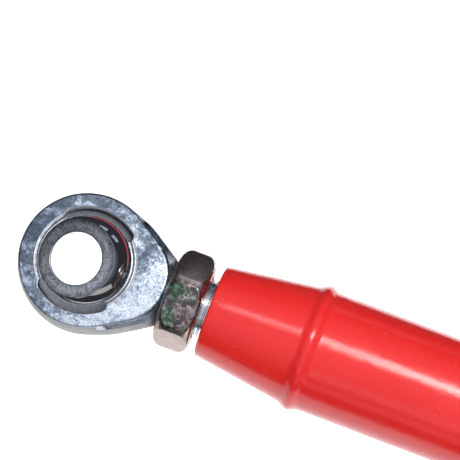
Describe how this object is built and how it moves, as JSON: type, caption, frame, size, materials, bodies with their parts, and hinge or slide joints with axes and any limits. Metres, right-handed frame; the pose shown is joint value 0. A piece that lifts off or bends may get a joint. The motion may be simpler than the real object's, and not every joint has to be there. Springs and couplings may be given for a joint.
{
  "type": "telescopic hydraulic cylinder",
  "caption": "Telescopic hydraulic cylinder: red barrel with a conical cap, chromed sliding stages and ball-jointed, jam-nutted rod ends.",
  "frame": {"origin": "centre of the ball in the base eye", "axes": "+X along the cylinder towards the rod eye, +Z along the pin bores' direction, the oil port faces -Z"},
  "size_m": [0.6889, 0.0682, 0.078],
  "materials": {
    "red_enamel": "gloss red enamel over weld and turned steel",
    "bright_zinc": "bluish bright zinc plate, mottled, on a forged and face-machined eye",
    "yellow_zinc": "iridescent yellow passivated zinc",
    "ball_chrome": "hard chromed sphere with machined grey side faces",
    "rod_chrome": "ground and polished hard chrome",
    "machined_steel": "turned steel",
    "spring_steel": "blackened spring steel",
    "guide_nylon": "filled nylon",
    "seal_polyurethane": "polyurethane",
    "nitrile": "nitrile rubber"
  },
  "bodies": {
    "barrel": {"barrel_gland": "red_enamel", "barrel_guide_ring": "guide_nylon", "barrel_o_ring": "nitrile", "barrel_rod_seal": "seal_polyurethane", "barrel_tube": "red_enamel", "barrel_wiper": "seal_polyurethane", "base_end_cap": "red_enamel", "base_girth_weld": "red_enamel", "base_rod_end": "bright_zinc", "port_boss": "red_enamel", "port_weld": "red_enamel"},
    "base_ball": {"base_ball": "ball_chrome"},
    "base_jam_nut": {"base_jam_nut": "yellow_zinc"},
    "stage_1": {"stage_1_gland": "machined_steel", "stage_1_guide_ring": "guide_nylon", "stage_1_o_ring": "nitrile", "stage_1_piston": "machined_steel", "stage_1_rod_seal": "seal_polyurethane", "stage_1_sleeve": "rod_chrome", "stage_1_snap_ring": "spring_steel", "stage_1_wear_ring_front": "guide_nylon", "stage_1_wear_ring_rear": "guide_nylon", "stage_1_wiper": "seal_polyurethane"},
    "plunger": {"bleed_screw": "bright_zinc", "bleed_washer": "nitrile", "plunger_head": "machined_steel", "plunger_piston": "machined_steel", "plunger_snap_ring": "spring_steel", "plunger_tube": "rod_chrome", "plunger_wear_ring_front": "guide_nylon", "plunger_wear_ring_rear": "guide_nylon", "plunger_weld": "machined_steel", "rod_rod_end": "bright_zinc"},
    "rod_jam_nut": {"rod_jam_nut": "yellow_zinc"},
    "rod_ball": {"rod_ball": "ball_chrome"}
  },
  "joints": [
    {"name": "base_ball_tilt", "type": "hinge", "parent": "barrel", "child": "base_ball", "pos_m": [0, 0, 0], "axis": [0.361, -0.9326, 0], "range_deg": [-29.2, 0]},
    {"name": "base_nut_travel", "type": "slide", "parent": "barrel", "child": "base_jam_nut", "axis": [1, 0, 0], "range_m": [0, 0.0038]},
    {"name": "stage_1_slide", "type": "slide", "parent": "barrel", "child": "stage_1", "axis": [1, 0, 0], "range_m": [-0.04, 0.145]},
    {"name": "plunger_slide", "type": "slide", "parent": "stage_1", "child": "plunger", "axis": [1, 0, 0], "range_m": [-0.04, 0.151]},
    {"name": "rod_nut_travel", "type": "slide", "parent": "plunger", "child": "rod_jam_nut", "axis": [-1, 0, 0], "range_m": [0, 0.0038]},
    {"name": "rod_ball_tilt", "type": "hinge", "parent": "plunger", "child": "rod_ball", "pos_m": [0.6207, 0, 0], "axis": [0, 1, 0], "range_deg": [-14.6, 14.6]}
  ]
}
